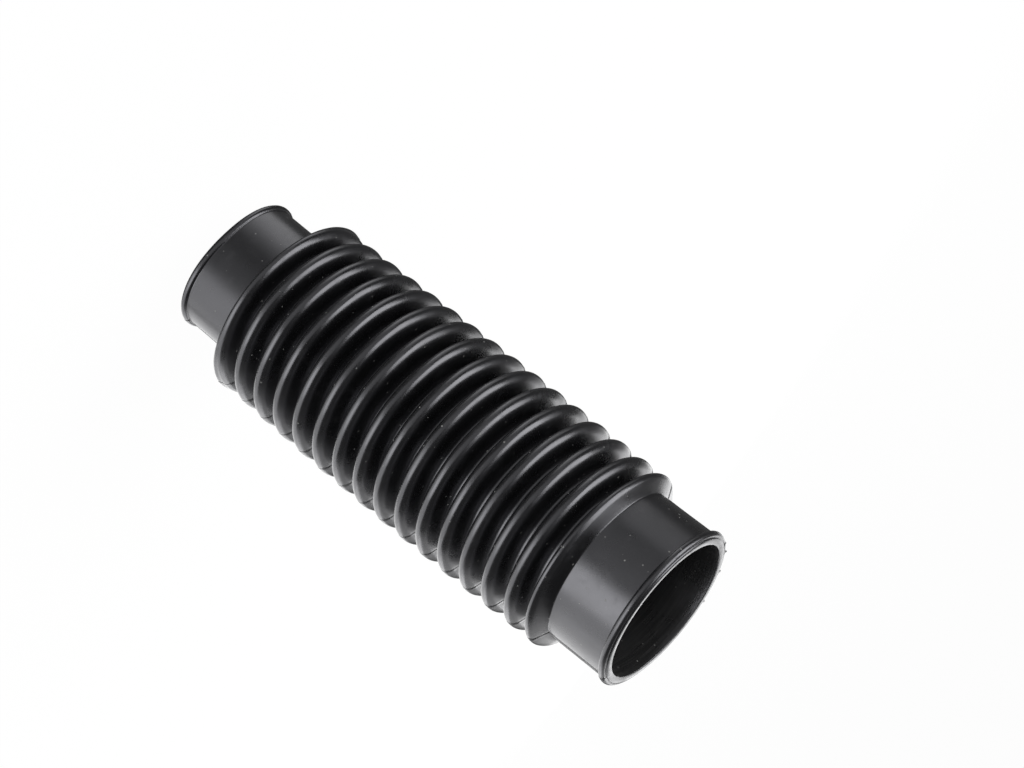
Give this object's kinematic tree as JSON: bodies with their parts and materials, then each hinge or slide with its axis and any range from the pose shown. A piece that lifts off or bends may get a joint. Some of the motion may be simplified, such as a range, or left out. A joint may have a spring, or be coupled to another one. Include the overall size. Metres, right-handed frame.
{
  "type": "fork gaiter",
  "caption": "Folded rubber bellows for a motorbike fork leg, with a plain gripping cuff and rim bead at each end, the upper cuff narrower than the lower one.",
  "frame": {"origin": "centre of the small cuff's end face, on which the gaiter stands", "axes": "+Z along the gaiter's axis, from the small cuff to the large one"},
  "size_m": [0.0744, 0.0744, 0.2093],
  "materials": {
    "rubber": "black, moulded, satin"
  },
  "bodies": {
    "root": {"gaiter": "rubber"}
  },
  "joints": []
}
